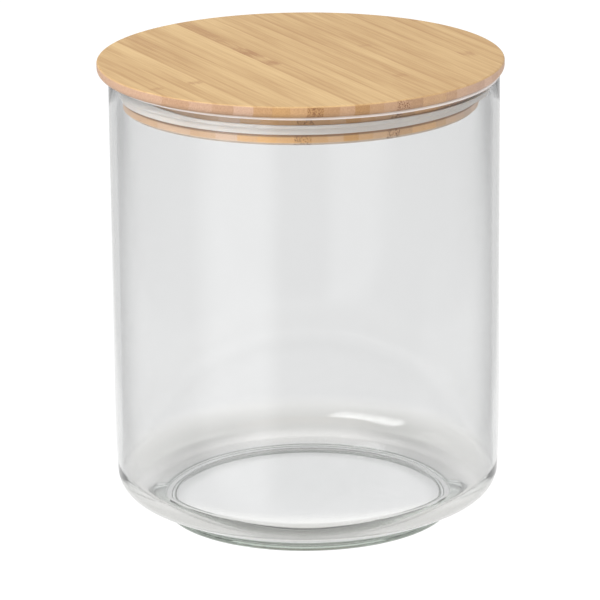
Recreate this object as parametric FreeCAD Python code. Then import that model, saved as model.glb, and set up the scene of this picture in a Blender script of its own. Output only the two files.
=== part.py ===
import FreeCAD, Part
import math
import os

# Food canister: a round glass jar, closed by a bamboo lid whose plug carries a silicone
# sealing ring. Millimetres. +Z is up along the jar's axis, and the origin is the centre of
# the ring-shaped foot's underside.

# Overall
TOTAL_HEIGHT = 197.0

# Glass jar: body and base
JAR_RADIUS = 82.0
WALL = 3.0
FOOT_RADIUS = 61.0
FOOT_STEP = 2.1
FOOT_RING_WIDTH = 3.0
RECESS_RADIUS = 56.5
RECESS_DEPTH = 2.6
RECESS_ROUNDING = 2.0
FOOT_INNER_ROUNDING = 1.2
FOOT_OUTER_ROUNDING = 0.4
FLOOR_HEIGHT = 8.8
HEEL_RADIUS = 80.95
HEEL_HEIGHT = 12.55
HEEL_ROUNDING = 10.6
INNER_HEEL_ROUNDING = 14.0
WAIST_HEIGHT = 32.2
WAIST_ROUNDING = 500.0

# Glass jar: fire-polished rim, which the disc covers with a little play
RIM_GAP = 0.3
RIM_ROUNDING = 1.1

# Bamboo lid: one glued board, turned to a disc with a plug below it
DISC_RADIUS = 85.3
DISC_THICKNESS = 5.0
DISC_TOP_ROUNDING = 0.8
DISC_UNDER_ROUNDING = 2.6
LID_THICKNESS = 18.4
NECK_RADIUS = 77.0
NECK_DEPTH = 9.5
GROOVE_RADIUS = 74.2
GROOVE_DEPTH = 14.0
FLANGE_RADIUS = 75.0
FLANGE_CHAMFER = 1.0

# The lid's lamellas, side by side across the board, with a glue line through its middle
LAMELLA_COUNT = 28
LAMELLA_WIDTH = 6.1
LAMELLA_TURN = 27.2

# The soft ring lets the lid sit a little off the jar's axis, towards -X
LID_SHIFT = 1.4

# Sealing ring, loose in the plug's groove. Its one fin ends just short of the glass all
# round, so it is centred on the jar: narrow where the lid leans to and wide opposite.
RING_CLEARANCE = 0.3
RING_RADIUS = 76.0
RING_INNER_ROUNDING = 0.3
RING_LOWER_ROUNDING = 0.6
FIN_RADIUS = 78.7
FIN_THICKNESS = 1.1
FIN_ROUNDING = 0.5

AXIS = FreeCAD.Vector(0, 0, 1)
ORIGIN = FreeCAD.Vector(0, 0, 0)
LID_AXIS = FreeCAD.Vector(-LID_SHIFT, 0, 0)


def point(radius, height):
    return FreeCAD.Vector(radius, 0, height)


def rounded_corner(before, corner, after, rounding):
    """The start, middle and end of the arc that rounds one corner of an outline."""
    incoming = (corner - before).normalize()
    outgoing = (after - corner).normalize()
    half_turn = incoming.getAngle(outgoing) / 2
    reach = rounding * math.tan(half_turn)
    inward = (outgoing - incoming).normalize()
    middle = corner + inward * (rounding / math.cos(half_turn) - rounding)
    return corner - incoming * reach, middle, corner + outgoing * reach


def turned(corners):
    """A solid of revolution about Z. Each corner is (radius, height, rounding)."""
    count = len(corners)
    places = [point(radius, height) for radius, height, rounding in corners]
    arcs = []
    for i, (radius, height, rounding) in enumerate(corners):
        if rounding:
            arcs.append(rounded_corner(places[i - 1], places[i], places[(i + 1) % count], rounding))
        else:
            arcs.append((places[i], None, places[i]))
    edges = []
    for i, (start, middle, end) in enumerate(arcs):
        if middle:
            edges.append(Part.Arc(start, middle, end).toShape())
        following = arcs[(i + 1) % count][0]
        edges.append(Part.LineSegment(end, following).toShape())
    return Part.Face(Part.Wire(edges)).revolve(ORIGIN, AXIS, 360)


def glass_jar():
    """Wall, rim, rounded heel, thick floor and ring-shaped foot in one solid of glass."""
    rim_top = TOTAL_HEIGHT - DISC_THICKNESS - RIM_GAP
    return turned([
        (0, RECESS_DEPTH, 0),
        (RECESS_RADIUS, RECESS_DEPTH, RECESS_ROUNDING),
        (FOOT_RADIUS - FOOT_RING_WIDTH, 0, FOOT_INNER_ROUNDING),
        (FOOT_RADIUS, 0, FOOT_OUTER_ROUNDING),
        (FOOT_RADIUS, FOOT_STEP, FOOT_OUTER_ROUNDING),
        (HEEL_RADIUS, HEEL_HEIGHT, HEEL_ROUNDING),
        (JAR_RADIUS, WAIST_HEIGHT, WAIST_ROUNDING),
        (JAR_RADIUS, rim_top, RIM_ROUNDING),
        (JAR_RADIUS - WALL, rim_top, RIM_ROUNDING),
        (JAR_RADIUS - WALL, FLOOR_HEIGHT, INNER_HEEL_ROUNDING),
        (0, FLOOR_HEIGHT, 0),
    ])


def lid_board():
    """The whole lid before it is divided into its lamellas: disc, neck, groove and flange."""
    top = TOTAL_HEIGHT
    return turned([
        (0, top - LID_THICKNESS, 0),
        (FLANGE_RADIUS - FLANGE_CHAMFER, top - LID_THICKNESS, 0),
        (FLANGE_RADIUS, top - LID_THICKNESS + FLANGE_CHAMFER, 0),
        (FLANGE_RADIUS, top - GROOVE_DEPTH, 0),
        (GROOVE_RADIUS, top - GROOVE_DEPTH, 0),
        (GROOVE_RADIUS, top - NECK_DEPTH, 0),
        (NECK_RADIUS, top - NECK_DEPTH, 0),
        (NECK_RADIUS, top - DISC_THICKNESS, 0),
        (DISC_RADIUS, top - DISC_THICKNESS, DISC_UNDER_ROUNDING),
        (DISC_RADIUS, top, DISC_TOP_ROUNDING),
        (0, top, 0),
    ])


def lamella(board, number):
    """One strip of the board. Number 1 is furthest to -X."""
    length = 2 * DISC_RADIUS + 10
    low = (number - 1 - LAMELLA_COUNT / 2) * LAMELLA_WIDTH
    corner = FreeCAD.Vector(low, -length / 2, TOTAL_HEIGHT - LID_THICKNESS - 1)
    slab = Part.makeBox(LAMELLA_WIDTH, length, LID_THICKNESS + 2, corner)
    strip = board.common(slab)
    strip.rotate(ORIGIN, AXIS, LAMELLA_TURN)
    strip.translate(LID_AXIS)
    return strip


def sealing_ring():
    """Silicone ring with a flat back around the lid's groove and one thin fin at its upper edge."""
    inner = GROOVE_RADIUS + RING_CLEARANCE
    low = TOTAL_HEIGHT - GROOVE_DEPTH + RING_CLEARANCE / 2
    high = TOTAL_HEIGHT - NECK_DEPTH - RING_CLEARANCE / 2
    back = turned([
        (inner, low, RING_INNER_ROUNDING),
        (RING_RADIUS, low, RING_LOWER_ROUNDING),
        (RING_RADIUS, high - FIN_THICKNESS / 2, 0),
        (inner, high - FIN_THICKNESS / 2, 0),
    ])
    back.translate(LID_AXIS)
    fin = turned([
        (0, high - FIN_THICKNESS, 0),
        (FIN_RADIUS, high - FIN_THICKNESS, FIN_ROUNDING),
        (FIN_RADIUS, high, FIN_ROUNDING),
        (0, high, 0),
    ])
    bore = Part.makeCylinder(inner, high - low + 2, LID_AXIS + FreeCAD.Vector(0, 0, low - 1))
    return back.fuse(fin.cut(bore)).removeSplitter()


def save(name, shape):
    """Write one sub-part, after making sure that it is one sound solid."""
    solids = shape.Solids
    if len(solids) != 1 or not solids[0].isValid():
        raise RuntimeError("%s is not one valid solid" % name)
    solids[0].exportStep("parts/%s.step" % name)
    print("%-14s %9.1f mm3" % (name, solids[0].Volume))


def main():
    os.makedirs("parts", exist_ok=True)
    save("glass_jar", glass_jar())
    save("sealing_ring", sealing_ring())
    board = lid_board()
    for number in range(1, LAMELLA_COUNT + 1):
        save("lid_strip_%02d" % number, lamella(board, number))


main()
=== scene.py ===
import math

import bmesh
import bpy
from mathutils import Matrix, Vector


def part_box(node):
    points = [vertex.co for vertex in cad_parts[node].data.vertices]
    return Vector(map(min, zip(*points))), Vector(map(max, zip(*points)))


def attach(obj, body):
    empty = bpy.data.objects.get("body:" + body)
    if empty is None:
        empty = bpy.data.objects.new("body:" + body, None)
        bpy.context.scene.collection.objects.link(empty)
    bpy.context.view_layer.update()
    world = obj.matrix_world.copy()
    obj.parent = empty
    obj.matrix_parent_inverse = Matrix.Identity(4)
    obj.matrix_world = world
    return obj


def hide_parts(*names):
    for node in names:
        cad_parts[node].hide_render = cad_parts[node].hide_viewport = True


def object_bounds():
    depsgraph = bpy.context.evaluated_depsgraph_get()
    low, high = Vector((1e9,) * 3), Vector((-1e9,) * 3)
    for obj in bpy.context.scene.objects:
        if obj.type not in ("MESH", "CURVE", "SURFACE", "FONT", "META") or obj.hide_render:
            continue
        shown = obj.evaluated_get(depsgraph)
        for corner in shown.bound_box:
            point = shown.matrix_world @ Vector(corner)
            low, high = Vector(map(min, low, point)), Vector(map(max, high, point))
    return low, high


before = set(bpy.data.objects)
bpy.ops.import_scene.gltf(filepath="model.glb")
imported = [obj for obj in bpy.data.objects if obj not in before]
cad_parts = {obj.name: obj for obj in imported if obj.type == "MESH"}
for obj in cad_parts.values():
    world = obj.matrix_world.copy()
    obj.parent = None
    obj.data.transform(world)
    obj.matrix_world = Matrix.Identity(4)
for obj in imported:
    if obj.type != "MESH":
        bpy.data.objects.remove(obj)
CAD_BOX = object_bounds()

# The looks of a food canister: a clear glass jar, a silicone sealing ring and a bamboo lid
# glued up from lamellas. Metres, in the frame's own axes: +Z up, the foot's underside at 0.

MM = 0.001

# Places taken from the frame
JAR_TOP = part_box("glass_jar")[1].z
RING_LOW, RING_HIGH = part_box("sealing_ring")
STRIPS = sorted(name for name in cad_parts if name.startswith("lid_strip_"))
LID_LOW_X = min(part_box(name)[0].x for name in STRIPS)
LID_HIGH_X = max(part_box(name)[1].x for name in STRIPS)
LID_AXIS_X = (LID_LOW_X + LID_HIGH_X) / 2
LID_TOP = CAD_BOX[1].z

# Jar, as the design has it
JAR_RADIUS = 82 * MM
WALL = 3 * MM
RIM_ROUNDING = 1.1 * MM
FLOOR_HEIGHT = 8.8 * MM
INNER_ROUNDING = 14 * MM
RECESS_HEIGHT = 2.6 * MM
RECESS_RADIUS = 56.5 * MM
RECESS_ROUNDING = 2 * MM
FOOT_RADIUS = 61 * MM
FOOT_STEP = 2.1 * MM
FOOT_RING_WIDTH = 3 * MM
FOOT_INNER_ROUNDING = 1.2 * MM
FOOT_OUTER_ROUNDING = 0.4 * MM
HEEL_RADIUS = 80.95 * MM
HEEL_HEIGHT = 12.55 * MM
HEEL_ROUNDING = 10.6 * MM
WAIST_HEIGHT = 32.2 * MM
WAIST_ROUNDING = 500 * MM
JAR_SEGMENTS = 288
LONGEST_STRETCH = 12 * MM

# Centre of the inner heel's rounding, as radius and height
HEEL_CENTRE = (JAR_RADIUS - WALL - INNER_ROUNDING, FLOOR_HEIGHT + INNER_ROUNDING, 0)

# How far down the rim's rounding its milky material, a painted highlight, reaches, as a share of
# the rounding
RIM_HIGHLIGHT_SHARE = 0.9

# Sealing ring, as the design has it, with the fin's edge drawn in by FIN_PLAY
RING_INNER = 74.5 * MM
RING_BACK = 76 * MM
RING_INNER_ROUNDING = 0.3 * MM
RING_LOWER_ROUNDING = 0.6 * MM
FIN_PLAY = 0.1 * MM
FIN_THICKNESS = 1.1 * MM
FIN_ROUNDING = 0.5 * MM
RING_SEGMENTS = 240
RING_ARC_PARTS = 5

# The fin's lip stands up all round. It is folded up where the lid leans to, and stands a
# little higher on the opposite side. Angles are in degrees from the direction of the lean.
LIP = 0.5 * MM
LIP_ROUNDING = 0.05 * MM
LIP_THICKNESS = 0.5 * FIN_THICKNESS
LIP_ROOT = 0.8 * FIN_THICKNESS
FOLD_HEIGHT = 2.8 * MM
FOLD_START = 25
FOLD_END = 62
WIDE_RISE = 0.6 * MM
WIDE_START = 95
WIDE_END = 150

# The fold keeps outside the lid's neck, which has a radius of 77 mm
NECK_CLEARANCE = 77.05 * MM
HINGE_SETBACK = 0.02 * MM

# Lid board, as the design has it
LAMELLA_WIDTH = 6.1
LAMELLA_TURN = 27.2
FIRST_JOINT = -14 * LAMELLA_WIDTH
DISC_THICKNESS = 5 * MM

# The camera, at the photograph's viewing angle: metres, radians, and millimetres for the lens
CAMERA_DISTANCE = 1.8492
CAMERA_HEIGHT = 0.6383
CAMERA_PITCH = 0.2876
CAMERA_YAW = -0.00141
CAMERA_ROLL = -0.00991
CAMERA_LENS = 272.5
SENSOR = 36.0


# ---------------------------------------------------------------- outlines and turned meshes

def rounded(corners, arc_parts=None):
    """Points of an outline. Each corner is (radius, height, rounding).

    Its arc is tangent to both sides, and has arc_parts stretches, or one for every 5 degrees."""
    places = [Vector((r, z)) for r, z, rounding in corners]
    points = []
    for i, (r, z, rounding) in enumerate(corners):
        corner = places[i]
        if not rounding:
            points.append(corner)
            continue
        incoming = (corner - places[i - 1]).normalized()
        outgoing = (places[(i + 1) % len(corners)] - corner).normalized()
        turn = incoming.angle(outgoing)
        reach = rounding * math.tan(turn / 2)
        centre = corner + (outgoing - incoming).normalized() * (rounding / math.cos(turn / 2))
        start = corner - incoming * reach - centre
        side = 1 if incoming.cross(outgoing) > 0 else -1
        parts = arc_parts or max(2, math.ceil(math.degrees(turn) / 5))
        for k in range(parts + 1):
            a = side * turn * k / parts
            spun = Vector((start.x * math.cos(a) - start.y * math.sin(a),
                           start.x * math.sin(a) + start.y * math.cos(a)))
            points.append(centre + spun)
    return points


def divided(points, longest):
    """The same outline with its long straight stretches divided."""
    result = []
    for i, point in enumerate(points):
        following = points[(i + 1) % len(points)]
        parts = max(1, math.ceil((following - point).length / longest))
        result += [point.lerp(following, k / parts) for k in range(parts)]
    return result


def turned(name, section, segments, axis_x=0.0):
    """A closed mesh turned about a vertical axis.

    section(angle) gives its outline at that angle."""
    verts = []
    count = len(section(0.0))
    on_axis = [p.x < 1e-7 for p in section(0.0)]
    for k in range(segments):
        a = 2 * math.pi * k / segments
        for p, pole in zip(section(a), on_axis):
            radius = 0 if pole else p.x
            verts.append((axis_x + radius * math.cos(a), radius * math.sin(a), p.y))
    faces = []
    for k in range(segments):
        here, there = k * count, (k + 1) % segments * count
        for i in range(count):
            j = (i + 1) % count
            if on_axis[i] and on_axis[j]:
                continue
            face = [here + i, there + i, there + j, here + j]
            if on_axis[i]:
                face = [i, there + j, here + j]
            elif on_axis[j]:
                face = [here + i, there + i, j]
            faces.append(face)
    mesh = bpy.data.meshes.new(name)
    mesh.from_pydata(verts, [], faces)
    shape = bmesh.new()
    shape.from_mesh(mesh)
    bmesh.ops.delete(shape, geom=[v for v in shape.verts if not v.link_faces], context="VERTS")
    bmesh.ops.recalc_face_normals(shape, faces=shape.faces)
    shape.to_mesh(mesh)
    shape.free()
    for polygon in mesh.polygons:
        polygon.use_smooth = True
    obj = bpy.data.objects.new(name, mesh)
    bpy.context.scene.collection.objects.link(obj)
    return obj


# ---------------------------------------------------------------- material helpers

class Nodes:
    """A new material and short calls that add and join its nodes."""

    def __init__(self, name):
        self.material = bpy.data.materials.new(name)
        self.material.use_nodes = True
        self.tree = self.material.node_tree
        self.shader = self.tree.nodes["Principled BSDF"]
        self.output = self.tree.nodes["Material Output"]

    def add(self, kind, inputs=None, **settings):
        node = self.tree.nodes.new("ShaderNode" + kind)
        for key, value in settings.items():
            setattr(node, key, value)
        for key, value in (inputs or {}).items():
            if isinstance(value, bpy.types.NodeSocket):
                self.tree.links.new(value, node.inputs[key])
            else:
                node.inputs[key].default_value = value
        return node

    def link(self, source, target):
        self.tree.links.new(source, target)

    def math(self, operation, a, b=0.0, c=0.0, clamp=False):
        inputs = {0: a, 1: b, 2: c}
        return self.add("Math", inputs, operation=operation, use_clamp=clamp).outputs[0]

    def ramp(self, value, low, high):
        """0 below low, 1 above high, smooth between."""
        node = self.add("MapRange", {"Value": value, "From Min": low, "From Max": high},
                        interpolation_type="SMOOTHSTEP")
        return node.outputs["Result"]

    def mix(self, factor, a, b, blend="MIX"):
        node = self.add("Mix", data_type="RGBA", blend_type=blend)
        for index, value in ((0, factor), (6, a), (7, b)):
            if isinstance(value, bpy.types.NodeSocket):
                self.tree.links.new(value, node.inputs[index])
            else:
                node.inputs[index].default_value = value
        return node.outputs[2]

    def noise(self, vector, scale, detail=2.0, roughness=0.5):
        node = self.add("TexNoise", {"Vector": vector, "Scale": scale, "Detail": detail,
                                     "Roughness": roughness})
        return node.outputs["Fac"]

    def stretched(self, vector, scale, location=(0, 0, 0)):
        inputs = {"Vector": vector, "Scale": scale, "Location": location}
        return self.add("Mapping", inputs).outputs[0]


def colour(r, g, b):
    """Linear colour from an sRGB one on the 0 to 255 scale."""
    def linear(v):
        v /= 255
        return v / 12.92 if v <= 0.04045 else ((v + 0.055) / 1.055) ** 2.4
    return (linear(r), linear(g), linear(b), 1.0)


# ---------------------------------------------------------------- glass jar

# Glass tints: the glass's own tint, then painted light low down beyond the foot, and painted shade
# where it is seen edge on, on the heel's outside and at the foot's outer edge
GLASS_FACE = (0.856, 0.858, 0.860, 1)
GLASS_LOW_PAINTED_LIGHT = (0.96, 0.955, 0.94, 1)
GLASS_EDGE_PAINTED_SHADE = (0.46, 0.463, 0.465, 1)
GLASS_HEEL_PAINTED_SHADE = (0.60, 0.60, 0.58, 1)
GLASS_FOOT_PAINTED_SHADE = (0.17, 0.21, 0.17, 1)


def make_jar():
    corners = [
        (0, RECESS_HEIGHT, 0),
        (RECESS_RADIUS, RECESS_HEIGHT, RECESS_ROUNDING),
        (FOOT_RADIUS - FOOT_RING_WIDTH, 0, FOOT_INNER_ROUNDING),
        (FOOT_RADIUS, 0, FOOT_OUTER_ROUNDING),
        (FOOT_RADIUS, FOOT_STEP, FOOT_OUTER_ROUNDING),
        (HEEL_RADIUS, HEEL_HEIGHT, HEEL_ROUNDING),
        (JAR_RADIUS, WAIST_HEIGHT, WAIST_ROUNDING),
        (JAR_RADIUS, JAR_TOP, RIM_ROUNDING),
        (JAR_RADIUS - WALL, JAR_TOP, RIM_ROUNDING),
        (JAR_RADIUS - WALL, FLOOR_HEIGHT, INNER_ROUNDING),
        (0, FLOOR_HEIGHT, 0),
    ]
    outline = divided(rounded(corners), LONGEST_STRETCH)
    jar = turned("glass_jar_visual", lambda angle: outline, JAR_SEGMENTS)
    jar.data.materials.append(glass_material())
    jar.data.materials.append(rim_highlight_material())
    # The top of the rim's rounding gets the milky material that paints a highlight
    for face in jar.data.polygons:
        if face.center.z > JAR_TOP - RIM_HIGHLIGHT_SHARE * RIM_ROUNDING:
            face.material_index = 1
    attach(jar, "jar")
    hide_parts("glass_jar")
    # Clear glass lets the light through, which a traced shadow of it wouldn't show
    jar.visible_shadow = False


def glass_material():
    """Clear pressed glass, a little wavy.

    Painted shade makes it greyer where it is seen edge on and on the heel's outside, painted light
    makes it paler low down beyond the foot, and painted shade makes it dark green at the foot's
    outer edge."""
    n = Nodes("clear_glass")
    shader = n.shader
    shader.inputs["Roughness"].default_value = 0.0
    shader.inputs["IOR"].default_value = 1.5
    shader.inputs["Transmission Weight"].default_value = 1.0
    place = n.add("TexCoord").outputs["Object"]
    axes = n.add("SeparateXYZ", {"Vector": place})
    flat = n.add("CombineXYZ", {0: axes.outputs[0], 1: axes.outputs[1]}).outputs[0]
    radius = n.add("VectorMath", {0: flat}, operation="LENGTH").outputs["Value"]
    height = axes.outputs[2]
    facing = n.add("LayerWeight", {"Blend": 0.5}).outputs["Facing"]
    # Painted light: the glass is paler low down beyond the foot
    low = n.math("MULTIPLY", n.ramp(height, 26 * MM, 16 * MM),
                 n.ramp(radius, 59.5 * MM, 64 * MM))
    clear = n.mix(low, GLASS_FACE, GLASS_LOW_PAINTED_LIGHT)
    # Painted shade: the glass is greyer where it is seen edge on
    tint = n.mix(n.ramp(facing, 0.5, 0.9), clear, GLASS_EDGE_PAINTED_SHADE)
    section = n.add("CombineXYZ", {0: radius, 1: height}).outputs[0]
    bend = n.add("VectorMath", {0: section, 1: HEEL_CENTRE}, operation="DISTANCE").outputs["Value"]
    # Painted shade on the heel's outside
    heel = n.math("MULTIPLY", n.ramp(height, 24 * MM, 12 * MM), n.ramp(radius, 69 * MM, 76 * MM))
    outer_face = n.ramp(bend, INNER_ROUNDING + 0.5 * MM, INNER_ROUNDING + 1.5 * MM)
    heel = n.math("MULTIPLY", heel, outer_face)
    tint = n.mix(heel, tint, GLASS_HEEL_PAINTED_SHADE)
    # Painted shade: dark green at the foot's outer edge
    foot = n.math("MULTIPLY", n.ramp(height, 3.0 * MM, 2.2 * MM),
                  n.ramp(radius, 60.0 * MM, 60.8 * MM))
    tint = n.mix(foot, tint, GLASS_FOOT_PAINTED_SHADE)
    n.link(tint, shader.inputs["Base Color"])
    waves = n.noise(n.stretched(place, (1, 1, 0.35)), 14.0, 1.0)
    bump = n.add("Bump", {"Strength": 0.05, "Distance": 0.0006, "Height": waves})
    n.link(bump.outputs[0], shader.inputs["Normal"])
    volume = n.add("VolumeAbsorption", {"Color": (0.62, 0.76, 0.68, 1), "Density": 3.0})
    n.link(volume.outputs[0], n.output.inputs["Volume"])
    return n.material


def rim_highlight_material():
    """The rim's milky material, which paints a highlight line along the rim."""
    n = Nodes("rim_painted_highlight")
    shader = n.shader
    shader.inputs["Roughness"].default_value = 0.2
    shader.inputs["IOR"].default_value = 1.5
    shader.inputs["Transmission Weight"].default_value = 0.2
    cloud = n.noise(n.add("TexCoord").outputs["Object"], 120.0, 2.0)
    n.link(n.mix(cloud, (0.95, 0.91, 0.89, 1), (0.97, 0.95, 0.94, 1)), shader.inputs["Base Color"])
    return n.material


# ---------------------------------------------------------------- sealing ring

def portion(value, start, end):
    """0 at start, 1 at end, and straight between them."""
    return min(1.0, max(0.0, (value - start) / (end - start)))


def ring_section(angle):
    """Outline of the ring at an angle about the lid's axis. Its fin is centred on the jar."""
    low, high = RING_LOW.z, RING_HIGH.z
    reach = RING_HIGH.x - FIN_PLAY
    lean = -LID_AXIS_X
    tip = lean * math.cos(angle) + math.sqrt(reach ** 2 - (lean * math.sin(angle)) ** 2)
    from_lean = abs(math.degrees(angle) - 180)
    folded = portion(from_lean, FOLD_END, FOLD_START)
    widened = portion(from_lean, WIDE_START, WIDE_END)
    fold = FOLD_HEIGHT * folded * folded * (3 - 2 * folded)
    rise = LIP + fold + WIDE_RISE * widened
    crease = max(tip - LIP_THICKNESS, NECK_CLEARANCE)
    hinge = max(tip - LIP_ROOT, NECK_CLEARANCE - HINGE_SETBACK)
    return rounded([
        (RING_INNER, low, RING_INNER_ROUNDING),
        (RING_BACK, low, RING_LOWER_ROUNDING),
        (RING_BACK, high - FIN_THICKNESS, FIN_ROUNDING),
        (tip, high - FIN_THICKNESS, FIN_ROUNDING),
        (tip, high + rise, LIP_ROUNDING),
        (crease, high + rise, 0),
        (hinge, high, 0),
        (RING_INNER, high, RING_INNER_ROUNDING),
    ], RING_ARC_PARTS)


def make_ring():
    ring = turned("sealing_ring_visual", ring_section, RING_SEGMENTS, LID_AXIS_X)
    ring.data.materials.append(silicone_material())
    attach(ring, "seal")
    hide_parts("sealing_ring")


def silicone_material():
    """Soft translucent white silicone with a faint moulded grain."""
    n = Nodes("silicone")
    shader = n.shader
    shader.inputs["Roughness"].default_value = 0.38
    shader.inputs["IOR"].default_value = 1.41
    shader.inputs["Subsurface Weight"].default_value = 0.6
    shader.inputs["Subsurface Radius"].default_value = (1.0, 0.85, 0.7)
    shader.inputs["Subsurface Scale"].default_value = 0.002
    place = n.add("TexCoord").outputs["Object"]
    cloud = n.noise(place, 90.0, 3.0)
    tint = n.mix(cloud, colour(218, 210, 203), colour(230, 224, 218))
    n.link(tint, shader.inputs["Base Color"])
    grain = n.noise(place, 1400.0, 2.0)
    bump = n.add("Bump", {"Strength": 0.15, "Distance": 0.0002, "Height": grain})
    n.link(bump.outputs[0], shader.inputs["Normal"])
    return n.material


# ---------------------------------------------------------------- bamboo lid

# Each lamella's tone from pale (0) to dark (1), in the board's order from -X
TONES = [0.55, 0.55, 0.50, 0.62, 0.22, 0.58, 0.66,
         0.42, 0.50, 0.40, 0.18, 0.66, 0.45, 0.42,
         0.46, 0.56, 0.60, 0.62, 0.42, 0.58, 0.52,
         0.54, 0.46, 0.50, 0.48, 0.56, 0.55, 0.60]

# Growth nodes: lamella number, place along it from the middle, length, darkness
KNOTS = [
    (12, 60, 110, 0.45),
    (12, 18, 34, 0.75),
    (12, -2, 18, 0.70),
    (5, -18, 9, 0.5),
    (2, -20, 8, 0.45),
    (25, -28, 18, 0.5),
    (20, 6, 7, 0.25),
    (18, -48, 9, 0.3),
    (27, 38, 12, 0.35),
    (7, 60, 70, 0.30),
]

# The same for the lamellas' ends, which show in the turned edge. These tones are partly the ends'
# own and partly painted light.
END_TONES_AND_PAINTED_LIGHT = [0.55, 0.7, 0.6, 0.7, 0.5, 0.6, 0.5,
             0.45, 0.7, 0.65, 0.5, 0.7, 0.5, 0.45,
             0.5, 0.6, 0.3, 0.25, 0.4, 0.2, 0.25,
             0.35, 0.1, 0.25, 0.1, 0.2, 0.3, 0.3]

# How yellow each end is, from pinkish (0) to golden (1). The pale pinkish ends towards both sides
# of the board are partly their own hue and partly painted sheen.
END_HUES_AND_SHEEN = [0.2, 0.4, 0.2, 0.4, 0.15, 0.8, 1.0,
            0.8, 0.9, 0.7, 0.5, 0.9, 0.6, 0.4,
            0.4, 0.5, 0.6, 0.6, 0.4, 0.2, 0.1,
            0.0, 0.0, 0.1, 0.2, 0.2, 0.3, 0.3]

# Lamellas that end in a speckled growth node at the front edge
SPECKLED = (9, 15)

# Colours of the ends, each from pinkish to golden; the pale pinkish one also paints sheen
END_PALE = (colour(203, 172, 151), colour(198, 158, 108))
END_DEEP = (colour(150, 116, 95), colour(146, 106, 62))
# Painted light that makes the plug below the disc brighter and more golden, from pinkish to golden
PLUG_PAINTED_LIGHT = ((0.80, 0.60, 0.45), (1.0, 0.54, 0.16))

# Millimetres below the lid's top: where painted light turns the plug pale, and the painted shadow
# line at its groove
PLUG_PAINTED_PALE_START = 16.9
PLUG_PAINTED_PALE_FULL = 17.9
GROOVE_SHADOW_TOP = 13.9
GROOVE_SHADOW_LOW = 15.2


def bamboo_material(number, tone):
    """One lamella: fibres along it, a denser edge, slow shifts of tone, and its growth nodes."""
    n = Nodes("bamboo_%02d" % number)
    shader = n.shader
    shader.inputs["Roughness"].default_value = 0.55
    shader.inputs["IOR"].default_value = 1.45
    place = n.add("TexCoord").outputs["Object"]
    turn = -math.radians(LAMELLA_TURN)
    middle = (-LID_AXIS_X / MM * math.cos(turn), -LID_AXIS_X / MM * math.sin(turn), 0)
    board = n.add("Mapping", {"Vector": place, "Location": middle, "Rotation": (0, 0, turn),
                              "Scale": (1000, 1000, 1000)}).outputs[0]
    own = n.stretched(board, (1, 1, 1), (number * 37.0, number * 91.0, 0))
    axes = n.add("SeparateXYZ", {"Vector": board})
    across, along, height = axes.outputs[0], axes.outputs[1], axes.outputs[2]
    below = n.math("SUBTRACT", LID_TOP / MM, height)

    drift = n.math("MULTIPLY", n.noise(n.stretched(own, (0.25, 0.035, 0.25)), 1.0, 2.0), 1.6)
    grain = n.add("VectorMath", {0: own, 1: n.add("CombineXYZ", {0: drift}).outputs[0]}).outputs[0]
    fine = n.noise(n.stretched(grain, (3.4, 0.050, 3.4)), 1.0, 3.0, 0.65)
    streak = n.noise(n.stretched(grain, (1.1, 0.018, 1.1)), 1.0, 3.0, 0.6)
    slow = n.noise(n.stretched(own, (0.16, 0.016, 0.1)), 1.0, 1.0)
    within = n.math("SUBTRACT", across, FIRST_JOINT + (number - 1) * LAMELLA_WIDTH)
    edge = n.math("MULTIPLY", n.ramp(within, 0.0, 0.3), n.ramp(within, 2.2, 0.7))

    dark = n.math("MULTIPLY_ADD", n.math("SUBTRACT", slow, 0.5), 0.9, tone)
    dark = n.math("ADD", dark, n.math("MULTIPLY", n.math("SUBTRACT", streak, 0.5), 1.2))
    dark = n.math("ADD", dark, n.math("MULTIPLY", n.math("SUBTRACT", fine, 0.5), 1.0))
    dark = n.math("ADD", dark, n.math("MULTIPLY", edge, 0.22), clamp=True)
    wood = n.mix(dark, colour(202, 171, 122), colour(170, 133, 87))
    for lamella, middle, length, depth in KNOTS:
        if lamella == number:
            wood = knot(n, wood, own, along, middle, length, depth)

    end_grain = n.noise(n.stretched(own, (1.7, 1.7, 1.3)), 1.0, 3.0, 0.7)
    wood = n.mix(n.ramp(below, 0.1, 0.7), wood, edge_colour(n, number, end_grain, below))
    n.link(wood, shader.inputs["Base Color"])
    bump = n.add("Bump", {"Strength": 0.25, "Distance": 0.0002, "Height": fine})
    n.link(bump.outputs[0], shader.inputs["Normal"])
    return n.material


def between(first, second, share):
    """Each channel of two colours, mixed."""
    return [a + (b - a) * share for a, b in zip(first, second)]


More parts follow.
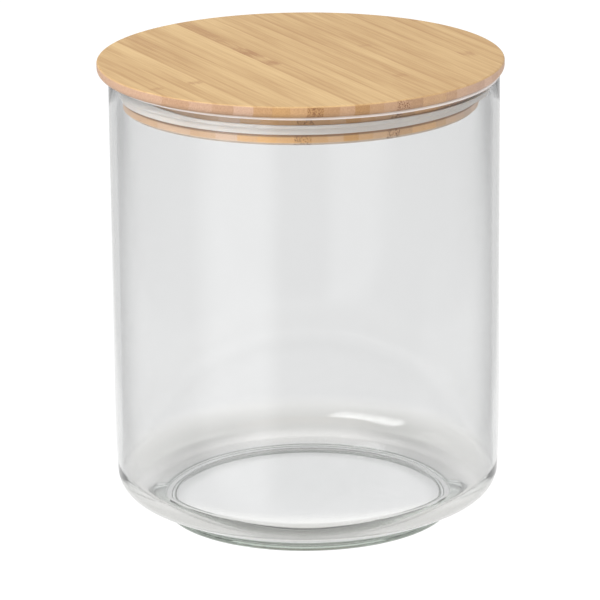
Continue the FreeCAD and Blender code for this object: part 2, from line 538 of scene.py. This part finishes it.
def edge_colour(n, number, end_grain, below):
    """The turned side: each lamella's end is a tile of its own tone and hue, a few speckled.

    The end tones also carry painted light, and the pale pinkish hues painted sheen. Below the
    disc, painted light makes it brighter and more golden and gives it a pale lower end, and a
    painted shadow draws a dark line just below the groove."""
    tone, hue = END_TONES_AND_PAINTED_LIGHT[number - 1], END_HUES_AND_SHEEN[number - 1]
    # Painted light: the plug is brighter and more golden, the more so for paler ends
    plug_painted_light = [channel * (1.3 - 0.6 * tone) for channel in between(*PLUG_PAINTED_LIGHT, hue)]
    dark = n.math("MULTIPLY_ADD", n.math("SUBTRACT", end_grain, 0.5), 0.9, tone, clamp=True)
    wood = n.mix(dark, between(*END_PALE, hue), between(*END_DEEP, hue))
    plug = n.mix(0.6, wood, (*plug_painted_light, 1))
    # Painted light: the plug's lower end turns pale
    painted_pale_end = n.ramp(below, PLUG_PAINTED_PALE_START, PLUG_PAINTED_PALE_FULL)
    plug = n.mix(painted_pale_end, plug, colour(222, 203, 184))
    disc = DISC_THICKNESS / MM
    wood = n.mix(n.ramp(below, disc - 0.2, disc + 0.4), wood, plug)
    # Painted shadow: a dark line just below the groove, where the ring sits
    groove_painted_shadow = n.math("MULTIPLY", n.ramp(below, GROOVE_SHADOW_TOP, GROOVE_SHADOW_TOP + 0.2),
                     n.ramp(below, GROOVE_SHADOW_LOW, GROOVE_SHADOW_LOW - 0.6))
    wood = n.mix(n.math("MULTIPLY", groove_painted_shadow, 0.7), wood, colour(112, 74, 50))
    if number in SPECKLED:
        spots = n.ramp(end_grain, 0.50, 0.58)
        wood = n.mix(n.math("MULTIPLY", spots, 0.8), wood, colour(112, 70, 42))
    return wood


def knot(n, wood, own, along, middle, length, depth):
    """A growth node: brown streaks that fray out along the fibres."""
    fray = n.noise(n.stretched(own, (1.9, 0.13, 1.9)), 1.0, 4.0, 0.7)
    away = n.math("ABSOLUTE", n.math("SUBTRACT", along, float(middle)))
    reach = n.ramp(away, length * 0.75, 0.0)
    patch = n.ramp(n.math("ADD", n.math("MULTIPLY", reach, 0.50), fray), 0.78, 1.08)
    return n.mix(n.math("MULTIPLY", patch, depth), wood, colour(148, 102, 62))


def finish_lid():
    for number, name in enumerate(STRIPS, 1):
        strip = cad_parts[name]
        material = bamboo_material(number, TONES[number - 1])
        strip.data.materials.clear()
        strip.data.materials.append(material)


# ---------------------------------------------------------------- stage, lights and camera

FLOOR_REACH = 6.0
FLOOR_CORNERS = ((-1, -1), (1, -1), (1, 1), (-1, 1))

# The floor's own colour, outside its glowing field and inside it
FLOOR_GREY = (0.44, 0.44, 0.44, 1)
FIELD_GREY = (0.04, 0.04, 0.04, 1)

# Strengths of the floor's glow, and the shares of it that are taken away as painted contact
# shadows
FIELD_GLOW = 0.97
FAN_GLOW = 0.9
FOOT_GLOW = 0.30
EVEN_GLOW = 0.05
SIDE_PAINTED_SHADOW = 0.35
FOOT_RING_PAINTED_SHADOW = 0.30

# The field is the sum of a narrow and a wide band, which spread a little with distance
NEAR_SHARE = 0.45
WIDE_SHARE = 0.55
FIELD_SPREAD = 0.07

# Middle of the painted shadow patches, behind the jar's axis
PAINTED_SHADOW_CENTRE = (0, 0.05, 0)

# Area lights: name, place, target, width, height, power, and whether the glass shows them
LIGHTS = [
    ("key", (-1.1, -1.0, 1.5), (0, 0, 0.15), 1.6, 1.1, 34, True),
    ("overhead", (0.2, 0.5, 1.7), (0, 0, 0.1), 1.1, 0.8, 2, False),
    ("fill", (-0.3, -2.4, 0.60), (0, 0, 0.18), 2.0, 0.9, 9, False),
    ("left", (-2.3, -0.7, 0.65), (0, 0, 0.19), 1.8, 1.1, 9, False),
    ("right", (2.3, -0.9, 0.32), (0, 0, 0.19), 1.8, 0.6, 15, False),
]
WORLD_STRENGTH = 0.78


def make_stage():
    mesh = bpy.data.meshes.new("floor")
    corners = [(x * FLOOR_REACH, y * FLOOR_REACH, 0) for x, y in FLOOR_CORNERS]
    mesh.from_pydata(corners, [], [(0, 1, 2, 3)])
    floor = bpy.data.objects.new("floor", mesh)
    bpy.context.scene.collection.objects.link(floor)
    floor.data.materials.append(floor_material())


def floor_material():
    """A pale floor that glows in a long field round and behind the jar.

    A fan to its front left glows too. The glow is stronger under the foot, except along the
    foot's inside, and dimmer on both sides behind the foot; these dimmer places are painted
    contact shadows."""
    n = Nodes("pale_floor")
    n.shader.inputs["Roughness"].default_value = 0.9
    n.shader.inputs["Specular IOR Level"].default_value = 0.0
    place = n.add("TexCoord").outputs["Object"]
    axes = n.add("SeparateXYZ", {"Vector": place})
    x, y = axes.outputs[0], axes.outputs[1]
    sideways = n.math("ABSOLUTE", x)

    outward = n.math("SUBTRACT", sideways, n.math("MULTIPLY", y, FIELD_SPREAD))
    near = n.math("MULTIPLY", n.ramp(outward, 0.175, 0.125), NEAR_SHARE)
    wide = n.math("MULTIPLY", n.ramp(outward, 0.60, 0.30), WIDE_SHARE)
    field = n.math("MULTIPLY", n.math("ADD", near, wide), n.ramp(y, -0.19, -0.12))
    field = n.math("MULTIPLY", field, n.ramp(y, 2.2, 1.2))
    n.link(n.mix(field, FLOOR_GREY, FIELD_GREY), n.shader.inputs["Base Color"])

    # The bearing is 0 towards -Y and grows towards -X
    bearing = n.math("ARCTAN2", n.math("MULTIPLY", x, -1.0), n.math("MULTIPLY", y, -1.0))
    fan = n.math("MULTIPLY", n.ramp(bearing, math.radians(10), math.radians(25)),
                 n.ramp(bearing, math.radians(70), math.radians(45)))
    fan = n.math("MULTIPLY", fan, n.ramp(y, -0.10, -0.16))

    reach = n.add("VectorMath", {0: place}, operation="LENGTH").outputs["Value"]
    under = n.ramp(reach, 61.2 * MM, 60.8 * MM)
    # Painted contact shadow along the inside of the foot's ring
    ring = n.math("MULTIPLY", n.ramp(reach, 50 * MM, 58.5 * MM), under)
    # Painted shadow on both sides behind the foot
    behind = n.add("VectorMath", {0: place, 1: PAINTED_SHADOW_CENTRE}, operation="DISTANCE").outputs["Value"]
    shade = n.math("MULTIPLY", n.ramp(behind, 80 * MM, 55 * MM), n.math("SUBTRACT", 1.0, under))
    shade = n.math("MULTIPLY", shade, n.ramp(sideways, 15 * MM, 50 * MM))
    painted_shadow = n.math("ADD", n.math("MULTIPLY", shade, SIDE_PAINTED_SHADOW),
                 n.math("MULTIPLY", ring, FOOT_RING_PAINTED_SHADOW))

    glow = n.math("ADD", n.math("MULTIPLY", field, FIELD_GLOW), n.math("MULTIPLY", fan, FAN_GLOW))
    glow = n.math("ADD", glow, n.math("MULTIPLY", under, FOOT_GLOW))
    glow = n.math("MULTIPLY", glow, n.math("SUBTRACT", 1.0, painted_shadow))
    n.shader.inputs["Emission Color"].default_value = (1, 1, 1, 1)
    n.link(n.math("ADD", glow, EVEN_GLOW), n.shader.inputs["Emission Strength"])
    return n.material


def make_light(name, place, target, width, height, power, seen_in_glass):
    """An area light. One that isn't seen in the glass is hidden from reflection and refraction."""
    data = bpy.data.lights.new(name, "AREA")
    data.shape = "RECTANGLE"
    data.size = width
    data.size_y = height
    data.energy = power
    light = bpy.data.objects.new(name, data)
    light.location = place
    aim = Vector(target) - Vector(place)
    light.rotation_mode = "QUATERNION"
    light.rotation_quaternion = aim.to_track_quat("-Z", "Y")
    light.visible_camera = False
    light.visible_glossy = seen_in_glass
    light.visible_transmission = seen_in_glass
    bpy.context.scene.collection.objects.link(light)


def make_lights():
    for settings in LIGHTS:
        make_light(*settings)
    world = bpy.data.worlds.new("studio")
    bpy.context.scene.world = world
    world.use_nodes = True
    background = world.node_tree.nodes["Background"]
    background.inputs["Color"].default_value = (1, 1, 1, 1)
    background.inputs["Strength"].default_value = WORLD_STRENGTH


def make_camera():
    forward = Vector((math.sin(CAMERA_YAW) * math.cos(CAMERA_PITCH),
                      math.cos(CAMERA_YAW) * math.cos(CAMERA_PITCH), -math.sin(CAMERA_PITCH)))
    level = Vector((math.cos(CAMERA_YAW), -math.sin(CAMERA_YAW), 0))
    upright = level.cross(forward)
    right = level * math.cos(CAMERA_ROLL) + upright * math.sin(CAMERA_ROLL)
    up = upright * math.cos(CAMERA_ROLL) - level * math.sin(CAMERA_ROLL)
    data = bpy.data.cameras.new("camera")
    data.lens = CAMERA_LENS
    data.sensor_width = SENSOR
    data.clip_start = 0.1
    data.clip_end = 50
    camera = bpy.data.objects.new("camera", data)
    turn = Matrix((right, up, -forward)).transposed().to_4x4()
    camera.matrix_world = Matrix.Translation((0, -CAMERA_DISTANCE, CAMERA_HEIGHT)) @ turn
    bpy.context.scene.collection.objects.link(camera)
    bpy.context.scene.camera = camera


def set_film():
    scene = bpy.context.scene
    scene.view_settings.view_transform = "Standard"
    scene.view_settings.look = "None"
    cycles = scene.cycles
    cycles.max_bounces = 24
    cycles.transmission_bounces = 20
    cycles.glossy_bounces = 12
    cycles.transparent_max_bounces = 16
    cycles.use_denoising = True


make_camera()
make_stage()
make_lights()
set_film()
make_jar()
make_ring()
finish_lid()
